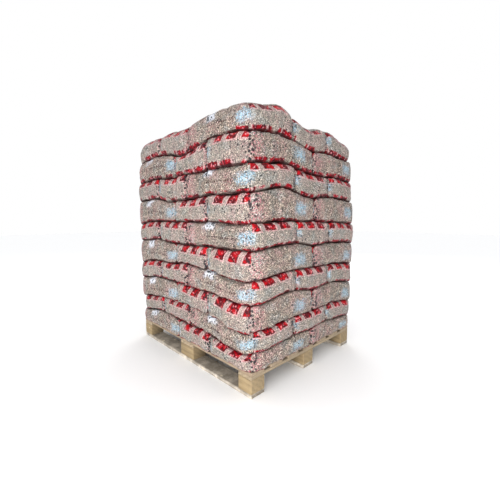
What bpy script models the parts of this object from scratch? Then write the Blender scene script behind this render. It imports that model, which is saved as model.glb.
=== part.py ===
"""A loaded pallet: ten layers of seven sacks of wood pellets on a wooden block pallet.

Metres, +Z up. The origin is on the floor under the middle of the pallet. X runs along the pallet's short
side, Y along its long side, and -Y is the front.
"""
import math

import bmesh
import bpy
from mathutils import Vector

# Pallet
PALLET_X = 1.000
PALLET_Y = 1.200
GAP = 0.0003
BOTTOM_BOARD = Vector((0.100, PALLET_Y, 0.022))
BLOCK_SIZE = 0.100
MIDDLE_BLOCK_Y = 0.145
BLOCK_HEIGHT = 0.078
STRINGER_HEIGHT = 0.019
DECK_BOARD = Vector((0.100, PALLET_Y, 0.019))
DECK_BOARDS = 7
BOARD_EDGE = 0.003

# Heights of the pallet's levels above the floor
BLOCK_BASE = BOTTOM_BOARD.z
STRINGER_BASE = BLOCK_BASE + BLOCK_HEIGHT
DECK_BASE = STRINGER_BASE + STRINGER_HEIGHT
DECK_TOP = DECK_BASE + DECK_BOARD.z

# Columns of blocks across the pallet and rows along it: name, place and size
COLUMNS = {"left": -0.450, "centre": 0.0, "right": 0.450}
ROWS = {"front": (-0.550, BLOCK_SIZE), "middle": (0.0, MIDDLE_BLOCK_Y), "back": (0.550, BLOCK_SIZE)}

# The stack: ten layers of seven sacks
LAYERS = 10
SACK_WIDTH = PALLET_X / 3
CROSS_SACK_LENGTH = PALLET_X / 2
LENGTHWISE_SACK_LENGTH = PALLET_Y - 2 * SACK_WIDTH

# Height in mm of the seam on top of each layer, read off the photograph to about 5 mm at nine even steps along the
# front face (from its left end) and along the left face (from the front end)
FRONT_SEAMS = (
    (245, 235, 245, 250, 240, 255, 245, 235, 225),
    (355, 350, 360, 360, 360, 360, 365, 350, 335),
    (485, 495, 515, 510, 490, 500, 505, 485, 470),
    (610, 620, 630, 630, 630, 625, 625, 615, 600),
    (755, 770, 780, 780, 755, 765, 765, 760, 745),
    (895, 900, 905, 900, 905, 895, 895, 890, 875),
    (1040, 1065, 1080, 1050, 1035, 1050, 1050, 1040, 1025),
    (1185, 1195, 1205, 1185, 1175, 1170, 1180, 1170, 1160),
    (1330, 1345, 1345, 1330, 1305, 1320, 1315, 1305, 1300),
    (1465, 1485, 1510, 1465, 1440, 1465, 1465, 1430, 1405),
)
LEFT_SEAMS = (
    (220, 225, 240, 255, 250, 255, 265, 240, 215),
    (340, 355, 390, 380, 380, 375, 365, 350, 325),
    (485, 490, 500, 500, 505, 505, 510, 490, 470),
    (610, 620, 650, 640, 640, 625, 625, 615, 580),
    (760, 760, 760, 760, 760, 760, 780, 765, 755),
    (895, 905, 920, 905, 900, 900, 900, 895, 870),
    (1045, 1040, 1045, 1035, 1030, 1025, 1055, 1050, 1045),
    (1180, 1195, 1200, 1185, 1180, 1175, 1185, 1185, 1175),
    (1330, 1345, 1345, 1320, 1295, 1325, 1340, 1330, 1320),
    (1475, 1490, 1495, 1485, 1465, 1475, 1470, 1475, 1465),
)

# How much fuller a sack is in its middle than at its joints, and how wide the dip at a joint is
SWELL = 0.022
TOP_SWELL = 0.030
JOINT_DIP_WIDTH = 0.110

# How far each layer's outer sacks stand over the pallet's edge, on its left and back, and on its front and right
OVERHANG_LEFT = (0.018, 0.010, 0.025, 0.026, 0.025, 0.024, 0.026, 0.025, 0.020, 0.010)
OVERHANG_FRONT = (0.018, 0.019, 0.025, 0.025, 0.027, 0.027, 0.024, 0.014, 0.008, -0.006)

# The soft outline of a layer's side. Levels are shares of its height: 0 is the seam below it and 1 the seam above.
OUTER_ROUND = 0.036
TOP_ROUND = 0.060
UPPER_POWER = 4.5
LOWER_POWER = 2.6
TOP_POWER = 2.3
FACE_BULGE = 0.006
STACK_CORNER = 0.085
LEVELS = (0.07, 0.3, 0.7, 0.93)

# The grooves at the joints between two sacks, on the layers' sides and on top of the stack
GROOVE_HALF = 0.016
SIDE_GROOVE = 0.010
TOP_GROOVE = 0.028

# Grid lines across a layer, fine enough for every joint between sacks to lie on one
LINES_X = 12
LINES_Y = 18

WOOD = (0.56, 0.41, 0.23, 1.0)
DIRTY_WOOD = (0.30, 0.25, 0.19, 1.0)
PELLET_FILM = (0.47, 0.39, 0.32, 1.0)
WOOD_ROUGHNESS = 0.85
FILM_ROUGHNESS = 0.35


def clear_scene():
    for obj in list(bpy.data.objects):
        bpy.data.objects.remove(obj, do_unlink=True)


def make_collection(name):
    collection = bpy.data.collections.new(name)
    bpy.context.scene.collection.children.link(collection)
    return collection


def make_material(name, color, roughness):
    material = bpy.data.materials.new(name)
    material.use_nodes = True
    shader = material.node_tree.nodes["Principled BSDF"]
    shader.inputs["Base Color"].default_value = color
    shader.inputs["Roughness"].default_value = roughness
    shader.inputs["Metallic"].default_value = 0.0
    return material


def add_object(collection, name, bm, color, roughness):
    mesh = bpy.data.meshes.new(name)
    bm.to_mesh(mesh)
    bm.free()
    obj = bpy.data.objects.new(name, mesh)
    obj.data.materials.append(make_material(name + "_material", color, roughness))
    collection.objects.link(obj)
    return obj


def add_timber(collection, name, base, size, color):
    """A sawn piece with its edges eased, standing on its base point. It ends one gap short of its full height."""
    height = size.z - GAP
    bm = bmesh.new()
    bmesh.ops.create_cube(bm, size=1.0)
    bmesh.ops.scale(bm, vec=Vector((size.x, size.y, height)), verts=bm.verts)
    obj = add_object(collection, name, bm, color, WOOD_ROUGHNESS)
    obj.location = base + Vector((0.0, 0.0, height / 2))
    bevel = obj.modifiers.new("eased edges", "BEVEL")
    bevel.width = BOARD_EDGE
    bevel.segments = 1
    return obj


def add_pallet(collection):
    for column, x in COLUMNS.items():
        add_timber(collection, f"bottom_board_{column}", Vector((x, 0, 0)), BOTTOM_BOARD, DIRTY_WOOD)
        for row, (y, length) in ROWS.items():
            size = Vector((BLOCK_SIZE, length, BLOCK_HEIGHT))
            add_timber(collection, f"block_{column}_{row}", Vector((x, y, BLOCK_BASE)), size, WOOD)
    for row, (y, length) in ROWS.items():
        size = Vector((PALLET_X, length, STRINGER_HEIGHT))
        add_timber(collection, f"stringer_{row}", Vector((0, y, STRINGER_BASE)), size, WOOD)
    pitch = (PALLET_X - DECK_BOARD.x) / (DECK_BOARDS - 1)
    for i in range(DECK_BOARDS):
        x = (DECK_BOARD.x - PALLET_X) / 2 + i * pitch
        add_timber(collection, f"deck_board_{i + 1}", Vector((x, 0, DECK_BASE)), DECK_BOARD, WOOD)


def sack_places(layer):
    """The seven sacks of a layer: plan rectangle (x0, x1, y0, y1) and the axis that the sack lies along. Every second
    layer is turned half round."""
    places = []
    for i in range(2):
        for j in range(2):
            x0 = -PALLET_X / 2 + i * CROSS_SACK_LENGTH
            y0 = -PALLET_Y / 2 + j * SACK_WIDTH
            places.append(((x0, x0 + CROSS_SACK_LENGTH, y0, y0 + SACK_WIDTH), "x"))
    for i in range(3):
        x0 = -PALLET_X / 2 + i * SACK_WIDTH
        places.append(((x0, x0 + SACK_WIDTH, PALLET_Y / 2 - LENGTHWISE_SACK_LENGTH, PALLET_Y / 2), "y"))
    if layer % 2 == 0:
        places = [((-x1, -x0, -y1, -y0), axis) for (x0, x1, y0, y1), axis in places]
    return places


def sacks_at(layer, x, y):
    """The sacks of a layer that a point of the plan lies in, or on the edge of."""
    return [((x0, x1, y0, y1), axis) for (x0, x1, y0, y1), axis in sack_places(layer)
            if x0 - GAP <= x <= x1 + GAP and y0 - GAP <= y <= y1 + GAP]


def from_joint(value, low, high, half_side):
    """Distance to the nearer joint with a neighbour. The stack's outer side isn't a joint."""
    distances = [1.0]
    if low > -half_side + GAP:
        distances.append(abs(value - low))
    if high < half_side - GAP:
        distances.append(abs(high - value))
    return min(distances)


def swell(layer, x, y):
    """How full the sacks of a layer are at a point of the plan: 0 at their joints, 1 where they are fullest."""
    fullness = 0.0
    for (x0, x1, y0, y1), axis in sacks_at(layer, x, y):
        from_x = from_joint(x, x0, x1, PALLET_X / 2)
        from_y = from_joint(y, y0, y1, PALLET_Y / 2)
        ends, sides, length = (from_x, from_y, x1 - x0) if axis == "x" else (from_y, from_x, y1 - y0)
        along = math.sin(0.88 * math.pi * min(ends / length, 1.0) ** 0.9)
        across = 1.0 - (1.0 - min(sides / JOINT_DIP_WIDTH, 1.0)) ** 2
        fullness = max(fullness, along * across)
    return fullness


def read_along(heights, part):
    """A smooth curve through evenly spaced heights in mm, at a part of the way along from 0 to 1. In metres."""
    steps = len(heights) - 1
    i = min(int(part * steps), steps - 1)
    f = part * steps - i
    a, b, c, d = (heights[min(max(k, 0), steps)] / 1000 for k in (i - 1, i, i + 1, i + 2))
    return 0.5 * (2 * b + (c - a) * f + (2 * a - 5 * b + 4 * c - d) * f ** 2 + (3 * b - a - 3 * c + d) * f ** 3)


def mean_height(layer):
    heights = FRONT_SEAMS[layer - 1]
    return sum(heights) / len(heights) / 1000


def interface_height(layer, x, y):
    """Height of the soft surface on top of a layer, blended inward from the heights read along its sides. The unseen
    sides repeat a neighbouring layer's seen sides turned half round, as the sacks do. Layer 0 is the flat deck."""
    if layer == 0:
        return DECK_TOP
    half_x, half_y = PALLET_X / 2, PALLET_Y / 2
    x, y = min(max(x, -half_x), half_x), min(max(y, -half_y), half_y)
    along_x, along_y = x / PALLET_X + 0.5, y / PALLET_Y + 0.5
    other = layer + 1 if layer < LAYERS else layer - 1
    step = mean_height(layer) - mean_height(other)
    sides = (
        (read_along(FRONT_SEAMS[layer - 1], along_x), (x, -half_y), y + half_y),
        (read_along(LEFT_SEAMS[layer - 1], along_y), (-half_x, y), x + half_x),
        (read_along(FRONT_SEAMS[other - 1], 1 - along_x) + step, (x, half_y), half_y - y),
        (read_along(LEFT_SEAMS[other - 1], 1 - along_y) + step, (half_x, y), half_x - x),
    )
    fullest = TOP_SWELL if layer == LAYERS else SWELL
    total = weights = 0.0
    for height, foot, distance in sides:
        weight = (distance + 0.04) ** -3
        total += weight * (height - fullest * swell(layer, *foot))
        weights += weight
    return total / weights + fullest * swell(layer, x, y)


def overhang(layer, axis, side):
    """How far a layer stands over the pallet's edge on one side: -1 or 1 along an axis."""
    values = OVERHANG_LEFT if (axis == "x") == (side < 0) else OVERHANG_FRONT
    return values[layer - 1]


def seam(layer, axis, side):
    """How far the seam on top of a layer lies out from the pallet's edge. Both layers that meet there share it."""
    if layer == LAYERS:
        return overhang(layer, axis, side) - TOP_ROUND
    upper = overhang(layer + 1, axis, side)
    lower = overhang(layer, axis, side) if layer > 0 else upper
    return min(upper, lower) - OUTER_ROUND


def side_share(layer, level):
    """How far the side has come out of its seam at a level, from 0 at the seam to 1 where it stands out most."""
    power = LOWER_POWER
    if level > 0.5:
        power = TOP_POWER if layer == LAYERS else UPPER_POWER
    return (1.0 - abs(2 * level - 1) ** power) ** (1 / power)


def reach(layer, axis, side, level):
    """How far the layer's side lies out from the pallet's edge at a level."""
    start = seam(layer if level > 0.5 else layer - 1, axis, side)
    return start + (overhang(layer, axis, side) - start) * side_share(layer, level)


def face_bulge(layer, x, y, axis):
    """How much further each sack's visible face stands out in its middle."""
    most = 0.0
    for (x0, x1, y0, y1), _ in sacks_at(layer, x, y):
        place = (y - y0) / (y1 - y0) if axis == "x" else (x - x0) / (x1 - x0)
        most = max(most, FACE_BULGE * (1 - (2 * place - 1) ** 2))
    return most


def side_place(layer, x, y, level):
    """Where a point on the rim of the layer's plain block goes in plan, with the stack's upright corners rounded."""
    side_x, side_y = (1 if x > 0 else -1), (1 if y > 0 else -1)
    limit_x = PALLET_X / 2 + reach(layer, "x", side_x, level)
    limit_y = PALLET_Y / 2 + reach(layer, "y", side_y, level)
    on_x, on_y = abs(x) > PALLET_X / 2 - GAP, abs(y) > PALLET_Y / 2 - GAP
    share = side_share(layer, level)
    out_x = limit_x if on_x else abs(x)
    out_y = limit_y if on_y else abs(y)
    a = max((out_x - limit_x) / STACK_CORNER + 1, 0.0)
    b = max((out_y - limit_y) / STACK_CORNER + 1, 0.0)
    if a > 0 and b > 0:
        pull = max(a, b) / math.hypot(a, b)
        out_x = limit_x + (a * pull - 1) * STACK_CORNER
        out_y = limit_y + (b * pull - 1) * STACK_CORNER
    groove = SIDE_GROOVE if on_joint(layer, x, y) and LEVELS[0] < level < LEVELS[-1] else 0.0
    if on_x and not on_y:
        out_x += share * face_bulge(layer, x, y, "x") - groove
    if on_y and not on_x:
        out_y += share * face_bulge(layer, x, y, "y") - groove
    return side_x * out_x, side_y * out_y


def on_joint(layer, x, y):
    """Whether a point of the plan lies on a joint between two sacks."""
    return len(sacks_at(layer, x, y)) > 1


def shaped_point(layer, x, y, level):
    """Where a point of the layer's plain block goes."""
    drop = 0.0
    if abs(x) > PALLET_X / 2 - GAP or abs(y) > PALLET_Y / 2 - GAP:
        x, y = side_place(layer, x, y, level)
    elif layer == LAYERS and level == 1.0:
        drop = TOP_GROOVE if on_joint(layer, x, y) else 0.0
    low = interface_height(layer - 1, x, y)
    high = interface_height(layer, x, y) - GAP
    return Vector((x, y, low + (high - low) * level - drop))


def cut_grid(bm):
    """Cuts the unit cube along the grid lines and the levels."""
    cuts = [(Vector((1, 0, 0)), (i / LINES_X - 0.5) * Vector((1, 0, 0))) for i in range(1, LINES_X)]
    cuts += [(Vector((0, 1, 0)), (i / LINES_Y - 0.5) * Vector((0, 1, 0))) for i in range(1, LINES_Y)]
    cuts += [(Vector((0, 0, 1)), (level - 0.5) * Vector((0, 0, 1))) for level in LEVELS]
    for normal, point in cuts:
        geometry = bm.verts[:] + bm.edges[:] + bm.faces[:]
        bmesh.ops.bisect_plane(bm, geom=geometry, plane_co=point, plane_no=normal)


def split_flat_faces(bm, layer):
    """Splits the top and bottom squares on the same diagonal, so that two layers meet without a clash. Nothing lies
    on the top layer, and its top keeps its squares for the grooves."""
    for face in [f for f in bm.faces if abs(f.normal.z) > 0.5]:
        if layer == LAYERS and face.normal.z > 0:
            continue
        corners = sorted(face.verts, key=lambda v: v.co.x + v.co.y)
        bmesh.utils.face_split(face, corners[0], corners[-1])


def is_top(face):
    return face.normal.z > 0.5


def is_middle_of_side(face):
    return abs(face.normal.z) < 0.5 and LEVELS[0] < face.calc_center_median().z + 0.5 < LEVELS[-1]


def joint_places(layer):
    """Where the joints between a layer's sacks cross the unit cube: axis and place."""
    joints = set()
    for (x0, x1, y0, y1), _ in sack_places(layer):
        joints.update((0, round(x / PALLET_X, 6)) for x in (x0, x1))
        joints.update((1, round(y / PALLET_Y, 6)) for y in (y0, y1))
    return sorted((axis, place) for axis, place in joints if abs(place) < 0.49)


def cut_beside_joints(bm, layer, chosen):
    """Cuts the chosen faces of the plain block on both sides of each joint, for the groove there."""
    for axis, joint in joint_places(layer):
        normal = Vector((axis == 0, axis == 1, 0))
        half_width = GROOVE_HALF / (PALLET_X, PALLET_Y)[axis]
        for place in (joint - half_width, joint + half_width):
            faces = [f for f in bm.faces if chosen(f)]
            edges = [e for e in bm.edges if any(chosen(f) for f in e.link_faces)]
            verts = [v for v in bm.verts if any(chosen(f) for f in v.link_faces)]
            bmesh.ops.bisect_plane(bm, geom=faces + edges + verts, plane_co=normal * place, plane_no=normal)
            bm.normal_update()


def add_sack_layer(collection, layer):
    bm = bmesh.new()
    bmesh.ops.create_cube(bm, size=1.0)
    cut_grid(bm)
    bm.normal_update()
    split_flat_faces(bm, layer)
    cut_beside_joints(bm, layer, is_middle_of_side)
    if layer == LAYERS:
        cut_beside_joints(bm, layer, is_top)
    for vert in bm.verts:
        level = round(vert.co.z + 0.5, 3)
        vert.co = shaped_point(layer, vert.co.x * PALLET_X, vert.co.y * PALLET_Y, level)
    add_object(collection, f"sack_layer_{layer:02d}", bm, PELLET_FILM, FILM_ROUGHNESS)


def main():
    clear_scene()
    collection = make_collection("pallet_of_sacks")
    add_pallet(collection)
    for layer in range(1, LAYERS + 1):
        add_sack_layer(collection, layer)


main()
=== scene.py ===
"""Looks of the loaded pallet: seventy see-through sacks of wood pellets on a wooden block pallet.

Metres, +Z up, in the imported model's frame: the origin is on the floor under the middle of the pallet, X
runs along its short side and Y along its long side. The camera stands off the corner at -X and -Y. The
stack's side at -Y is called its front, and the one at -X its left.
"""

import math
import random

import bpy
import bmesh
import numpy as np
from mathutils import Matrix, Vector, noise


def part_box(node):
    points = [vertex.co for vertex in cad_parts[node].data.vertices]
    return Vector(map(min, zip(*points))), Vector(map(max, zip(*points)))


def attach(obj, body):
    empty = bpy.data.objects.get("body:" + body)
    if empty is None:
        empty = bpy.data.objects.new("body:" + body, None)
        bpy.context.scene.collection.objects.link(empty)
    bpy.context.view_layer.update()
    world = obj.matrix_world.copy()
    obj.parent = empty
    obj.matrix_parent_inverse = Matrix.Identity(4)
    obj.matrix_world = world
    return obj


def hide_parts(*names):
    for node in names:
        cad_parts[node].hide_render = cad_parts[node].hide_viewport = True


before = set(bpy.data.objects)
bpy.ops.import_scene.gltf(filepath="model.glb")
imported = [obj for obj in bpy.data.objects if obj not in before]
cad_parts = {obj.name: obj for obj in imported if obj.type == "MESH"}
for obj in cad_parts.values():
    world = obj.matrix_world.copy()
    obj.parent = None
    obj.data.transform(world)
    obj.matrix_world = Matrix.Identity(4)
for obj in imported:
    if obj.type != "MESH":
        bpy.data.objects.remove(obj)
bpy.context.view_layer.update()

# Sizes taken from the frame
DECK_LOW, DECK_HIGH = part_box("deck_board_1")
DECK_TOP = DECK_HIGH.z
PALLET_Y = DECK_HIGH.y - DECK_LOW.y
PALLET_X = -2 * DECK_LOW.x

# The stack: seven sacks a layer, in two patterns that take turns
LAYERS = 10
SACK_WIDTH = PALLET_X / 3
CROSS_SACK_LENGTH = PALLET_X / 2
LENGTHWISE_SACK_LENGTH = PALLET_Y - 2 * SACK_WIDTH
HAIR = 1e-4  # places closer than this are one place

# Height in mm of the seam on top of each layer, read off the photograph to about 5 mm at nine even steps,
# along the front face (from its left end) and along the left face (from the front end)
FRONT_SEAMS = (
    (245, 235, 245, 250, 240, 255, 245, 235, 225),
    (355, 350, 360, 360, 360, 360, 365, 350, 335),
    (485, 495, 515, 510, 490, 500, 505, 485, 470),
    (610, 620, 630, 630, 630, 625, 625, 615, 600),
    (755, 770, 780, 780, 755, 765, 765, 760, 745),
    (895, 900, 905, 900, 905, 895, 895, 890, 875),
    (1040, 1065, 1080, 1050, 1035, 1050, 1050, 1040, 1025),
    (1185, 1195, 1205, 1185, 1175, 1170, 1180, 1170, 1160),
    (1330, 1345, 1345, 1330, 1305, 1320, 1315, 1305, 1300),
    (1465, 1485, 1510, 1465, 1440, 1465, 1465, 1430, 1405),
)
LEFT_SEAMS = (
    (220, 225, 240, 255, 250, 255, 265, 240, 215),
    (340, 355, 390, 380, 380, 375, 365, 350, 325),
    (485, 490, 500, 500, 505, 505, 510, 490, 470),
    (610, 620, 650, 640, 640, 625, 625, 615, 580),
    (760, 760, 760, 760, 760, 760, 780, 765, 755),
    (895, 905, 920, 905, 900, 900, 900, 895, 870),
    (1045, 1040, 1045, 1035, 1030, 1025, 1055, 1050, 1045),
    (1180, 1195, 1200, 1185, 1180, 1175, 1185, 1185, 1175),
    (1330, 1345, 1345, 1320, 1295, 1325, 1340, 1330, 1320),
    (1475, 1490, 1495, 1485, 1465, 1475, 1470, 1475, 1465),
)

# The soft surface on top of a layer: how far the sacks swell between their joints, how wide the dip is
# beside a joint along a sack, and the curve that starts from a joint at a sack's end
SWELL = 0.022
TOP_SWELL = 0.030
JOINT_DIP_WIDTH = 0.110
END_CURVE = 0.88
END_POWER = 0.9

# How the heights read at the four sides mix further in: each counts by its distance plus SIDE_REACH, to the
# power SIDE_FADE
SIDE_REACH = 0.04
SIDE_FADE = -3

# How far each layer's outer sacks stand over the pallet's edge: on its left and back, then on its front and
# right
OVERHANG_LEFT = (0.018, 0.010, 0.025, 0.026, 0.025, 0.024, 0.026, 0.025, 0.020, 0.010)
OVERHANG_FRONT = (0.018, 0.019, 0.025, 0.025, 0.027, 0.027, 0.024, 0.014, 0.008, -0.006)

# One sack lying flat, the size of the squares it is cut into, and the closer cuts beside its edges
SACK_HALF = Vector((0.250, SACK_WIDTH / 2, 0.066))
SACK_CELL = 0.0115
EDGE_LINES = (0.004, 0.010, 0.018, 0.028)

# How wide a pressed sack's rounding is: on the stack's sides, round its top, at the joints, and in plan
OUTER_ROUND = 0.036
TOP_ROUND = 0.060
JOINT_ROUND = 0.022
TOP_JOINT_ROUND = 0.026
STACK_CORNER = 0.085

# How square that rounding is. 2 is a circle. The power changes from LOWER to UPPER round the sack's middle,
# and the load above makes the lowest layer squarer by WEIGHT_SQUARENESS.
PLAN_POWER = 2.2
LOWER_POWER = 4.5
UPPER_POWER = 5.8
TOP_POWER = 2.3
POWER_BLEND = 0.6
WEIGHT_SQUARENESS = 0.5

# How far a free side bulges, how freely the creases stand out on top of the stack, and the gap between
# sacks
FACE_BULGE = 0.009
BULGE_POWER = 1.5
TOP_FREEDOM = 0.7
FREEDOM_POWER = 3
SACK_GAP = 0.0015

# How far the print of each layer's sacks has slid down over their upper edge. Below 0 it has slid up.
PRINT_SLIDE = (0.008, 0.004, 0.012, 0.004, 0.016, 0.004, 0.006, -0.002, -0.006, -0.006)

# A filled sack's creases: how an empty bag crumples when it is blown up to the sack's volume
EMPTY_BAG_HALF = 0.012
WRINKLE_SCALE = 25.0
WRINKLE_HEIGHT = 0.003
FILLED_VOLUME = 0.0215
BAG_PRESSURE = 4.0
BAG_STIFFNESS = 0.1
BAG_FRAMES = 20
BAG_SMOOTHING = 14
CREASE_LIMIT = 0.0045

# The master sacks: a seed for each, how far a seed moves the noise, and the (depth, scale) of its dents
MASTER_SEEDS = (1.0, 2.0, 3.0)
SEED_SHIFT = (3.1, 1.7, 2.3)
DENTS = ((0.0028, 7.0), (0.0014, 19.0))
CHOICE_SEED = 15

# The photograph's camera, fitted to the pallet's corners and blocks
CAMERA_PLACE = Vector((-1.488, -1.607, 0.916))
CAMERA_YAW = math.radians(45.8)
CAMERA_PITCH = math.radians(-5.96)
CAMERA_LENS = 21.16
CAMERA_SENSOR = 36.0

# The room: how strong its light is level with the eye and overhead, and its soft lights as
# (name, place, where it points, size, power, colour)
ROOM_LOW = 0.35
ROOM_HIGH = 1.40
ROOM_COLOR = (0.985, 0.99, 1.0)
WHITE = (1.0, 1.0, 1.0)
LIGHTS = (
    ("key", (-5.0, -2.0, 1.1), (0.0, 0.0, 0.45), 3.0, 112.0, WHITE),
    ("near_fill", (-2.0, -2.0, 0.30), (-0.3, -0.4, 0.4), 1.2, 44.0, (1.0, 0.95, 0.91)),
    ("back_fill", (4.2, 3.6, 1.8), (0.0, 0.0, 0.7), 3.0, 95.0, WHITE),
)
FLOOR_SIZE = 40.0
FLOOR_COLOR = (0.96, 0.96, 0.96)
FLOOR_SHINE = {"Roughness": 0.9}

# Pellets: the rods' length and thickness with their gaps, the two ways they lie (in radians), how dark the
# painted shade in a gap is, and the colours, as (place, colour) stops of a ramp
ROD_LENGTH = 0.0076
ROD_THICKNESS = 0.0047
ROD_TURNS = ((0.3, 0.2, 0.5), (1.2, 0.9, 2.2))
ROD_GAP = (0.0, 0.16)
GAP_SHADE = 0.18
ROD_SHADES = ((0.0, (0.040, 0.033, 0.026)), (0.30, (0.20, 0.17, 0.14)),
              (0.60, (0.46, 0.395, 0.33)), (1.0, (0.69, 0.615, 0.54)))
ROD_TINTS = ((0.0, (0.28, 0.36, 0.41)), (0.3, (0.38, 0.37, 0.29)),
             (0.65, (0.50, 0.355, 0.24)), (1.0, (0.62, 0.22, 0.22)))
TINT_SHARE = 0.09
HUE_SCALE = 17.0
BROAD_HUES = ((0.36, (0.82, 0.93, 1.0)), (0.50, (0.93, 0.91, 0.86)), (0.64, (0.98, 0.86, 0.90)))

# Film: its hazy colours, the painted highlights along its fold lines, and how it shines and crinkles
HAZE_SCALE = 6.0
HAZE_COLORS = ((0.3, (0.42, 0.42, 0.40)), (0.5, (0.46, 0.41, 0.37)), (0.7, (0.51, 0.39, 0.37)))
FOLD_CELLS = (13.0, 13.0, 26.0)
FOLD_TURN = (0.2, 0.4, 0.3)
FOLD_WIDTH = (0.012, 0.038)
FOLD_HIGHLIGHT = (0.78, 0.75, 0.72)
TONE_SHIFT = 9.0
FILM_SHINE = {"Roughness": 0.40, "Specular IOR Level": 0.11, "Coat Weight": 0.06, "Coat Roughness": 0.20}
CRINKLE_STRETCH = (1.0, 2.5, 2.5)
CRINKLE_NOISE = (60.0, 4.0, 0.6)
CRINKLE_BUMP = (0.15, 0.004)
ROD_BUMP = (0.5, 0.0015)

# Noise made into patches: its scale and detail, the smooth step, and the values below and above that step
SLANTING_RODS = (45.0, 1.0, 0.47, 0.53)
GRIT = (195.0, 1.0, 0.37, 0.63, 0.17, 1.83)
HAZE = (9.0, 3.0, 0.35, 0.7, 0.08, 0.18)
FOLD_HIGHLIGHT_PATCHES = (12.0, 2.0, 0.56, 0.68, 0.0, 0.32)
PALE_INK_GRAIN = (190.0, 2.0, 0.40, 0.60, 0.05, 0.85)
PINK_GRAIN = (120.0, 2.0, 0.48, 0.63, 0.05, 0.66)
PINK_PATCHES = (8.0, 3.0, 0.45, 0.66, 0.05, 0.38)
END_ROW_BREAKS = (10.0, 0.0, 0.40, 0.46)
SIDE_ROW_BREAKS = (12.0, 0.0, 0.43, 0.48)
FRINGE_GRAIN = (170.0, 2.0, 0.44, 0.56, 0.15, 1.0)
OUTLINE_BREAKS = (70.0, 1.0, 0.42, 0.52)
WORN_INK_AND_SHEEN = (80.0, 3.0, 0.56, 0.66, 0.0, 0.85)
DEEP_INK = (34.0, 2.0, 0.40, 0.56)
DASH_BREAKS = (40.0, 3.0, 0.38, 0.46)
SPECK_PATCHES = (14.0, 3.0, 0.38, 0.46)
SEAM_SHADE_PATCHES = (11.0, 2.0, 0.38, 0.60, 0.6, 1.0)
WOOD_TINT = (4.0, 2.0, 0.3, 0.7, -0.12, 0.12)

# Where the print lies, in metres. Of two numbers, a smooth step starts at the first and ends at the second.
# Of three, a band lies between the first two, and the last is how soft its ends are. They are places from
# the sack's middle, but a RIM or END is a distance from the sack's edge.
RAGGED_NOISE = (45.0, 4.0, 0.7)
RAGGED_SIZE = 0.11
SIDE_RIM = (0.030, 0.015)
END_RIM = (0.020, 0.010)
PINK_ALONG = (-0.260, -0.170, 0.050)
BLUE_ALONG = (0.072, 0.158, 0.022)
BLUE_UP = (-0.024, 0.030, 0.014)
BLUE_LENGTHWISE_SHIFT = 0.095
CORNER_ACROSS = (-0.200, -0.138, 0.016)
CORNER_UP = (-0.022, 0.030, 0.016)
LABEL_ALONG = (-0.085, -0.010, 0.014)
LABEL_UP = (0.034, 0.110, 0.010)
DASHES_ALONG = (-0.080, 0.150, 0.004)
DASHES_UP = (-0.006, 0.005, 0.002)
DASH_HALF_STEP = 0.0080
DASH_EDGE = (0.0035, 0.0050)
SPECKS_NEAR_SIDE_END = (-0.215, -0.195)
SPECKS_NEAR_CORNER = (0.130, 0.150)

# The red rows, in the same way. The blocks of a row repeat every two half steps.
ROW_RIM = (0.024, 0.021)
ROW_END = (0.006, 0.002)
UPPER_ROW_REACH = (0.122, 0.126)
UPPER_ROW_LEVEL = (0.032, 0.035)
HALO_LEVEL = (0.024, 0.029)
END_ROW_LEVEL = (-0.0465, -0.0425)
SIDE_ROW_LEVEL = (-0.0525, -0.0485)
BLOCK_HALF_STEP = 0.0525
BLOCK_LEAN = 0.42
UPPER_BLOCK_SHIFT = 0.130
UPPER_BLOCK_EDGE = (0.034, 0.037)
HALO_BLOCK_EDGE = (0.040, 0.045)
BLOCK_OUTLINE = (0.030, 0.037, 0.003)
ROW_OUTLINE = (0.031, 0.037, 0.002)
LOWER_BLOCK_SHIFT = 0.095
LOWER_BLOCK_EDGE = (0.044, 0.048)
SIDE_BLOCK_HALF_STEP = 0.064
SIDE_BLOCK_SHIFT = 0.06
SIDE_BLOCK_EDGE = (0.052, 0.057)
SEAM_LINE_HEIGHT = (0.005, 0.002)
SEAM_LINE_RIM = (0.018, 0.014)
# Height of the painted shade in the fold above a sack's underside
SEAM_SHADE_HEIGHT = (0.0005, 0.0045)

# Dark specks: the size of their cells, the share of the cells that hold one, and its radius in cells
LABEL_SPECKS = (0.014, 0.60, 0.54)
PALE_MARK_SPECKS = (0.013, 0.60, 0.50)
CLUSTERED_SPECKS = (0.015, 0.75, 0.54)
STRAY_SPECKS = (0.014, 0.09, 0.42)
STRAY_SHIFT = (3.3, 1.7, 0.4)
SPECK_SOFTNESS = 0.12

# How far the ragged noise tears the edges of each mark, as a share of it
TORN_PALE_MARKS = 0.6
TORN_UPPER_BLOCKS = 0.12
TORN_UPPER_ROW = 0.14
TORN_LOWER_ROWS = 0.38
TORN_LOWER_BLOCKS = 0.45
TORN_DASHES = 0.12

# How strongly each mark covers what lies under it, from 0 to 1
END_HAZE_COVER = 0.16
PINK_COVER_ON_ENDS = 0.3
CORNER_COVER = 0.85
LABEL_GRAIN = (0.05, 0.85, 0.45, 1.0)
HALO_BETWEEN_BLOCKS = 0.25
END_ROW_FRINGE = 0.8
FRINGE_COVER = 0.75
OUTLINE_COVER = 0.8
SEAM_LINE_COVER = 0.75
DASH_COVER = 0.95
SPECKS_ON_BLUE = 0.8
SPECK_COVER = 0.92
# How strongly the painted shade in the fold under each sack covers the colour
SEAM_SHADE_COVER = 0.9
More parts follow.
